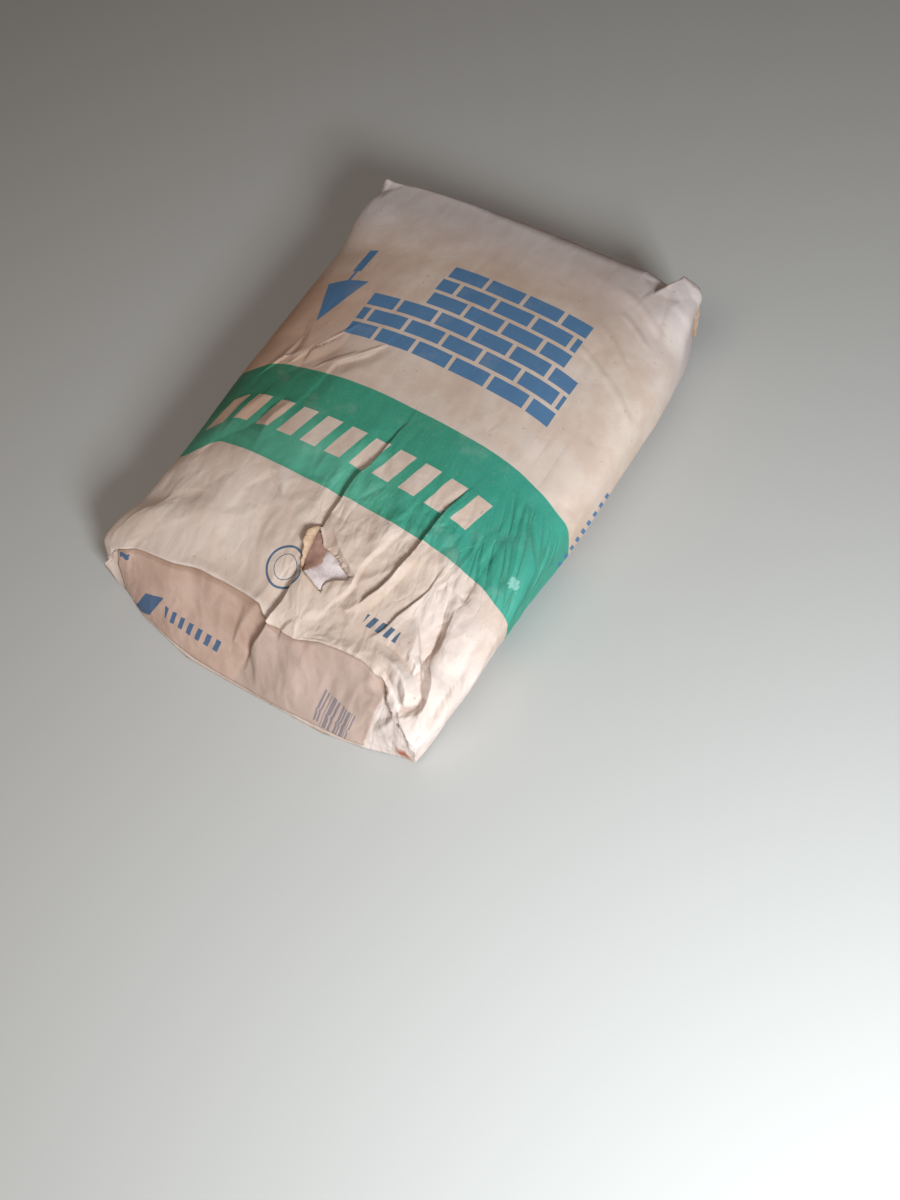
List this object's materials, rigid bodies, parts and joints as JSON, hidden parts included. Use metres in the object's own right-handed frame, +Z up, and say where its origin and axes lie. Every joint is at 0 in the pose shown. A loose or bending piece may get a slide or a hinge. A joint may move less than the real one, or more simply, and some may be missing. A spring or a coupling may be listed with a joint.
{
  "type": "cement bag",
  "caption": "Filled pasted valve sack of kraft paper with a plastic liner, lying flat: one end a square block, the other sloped back, torn and creased in front.",
  "frame": {"origin": "on the floor, under the middle of the bag's outer box", "axes": "+X across the bag, +Y along it towards the valve end, +Z up from the floor"},
  "size_m": [0.412, 0.574, 0.108],
  "materials": {
    "kraft_paper": "matt unbleached kraft paper",
    "patch_paper": "matt unbleached kraft paper, darker",
    "liner_film": "thin white film",
    "cement": "fine grey powder, packed"
  },
  "bodies": {
    "root": {"paper_sack": "kraft_paper", "end_patch": "patch_paper", "valve_end_patch": "patch_paper", "valve_sleeve": "kraft_paper", "liner_film": "liner_film", "cement_fill": "cement"}
  },
  "joints": []
}
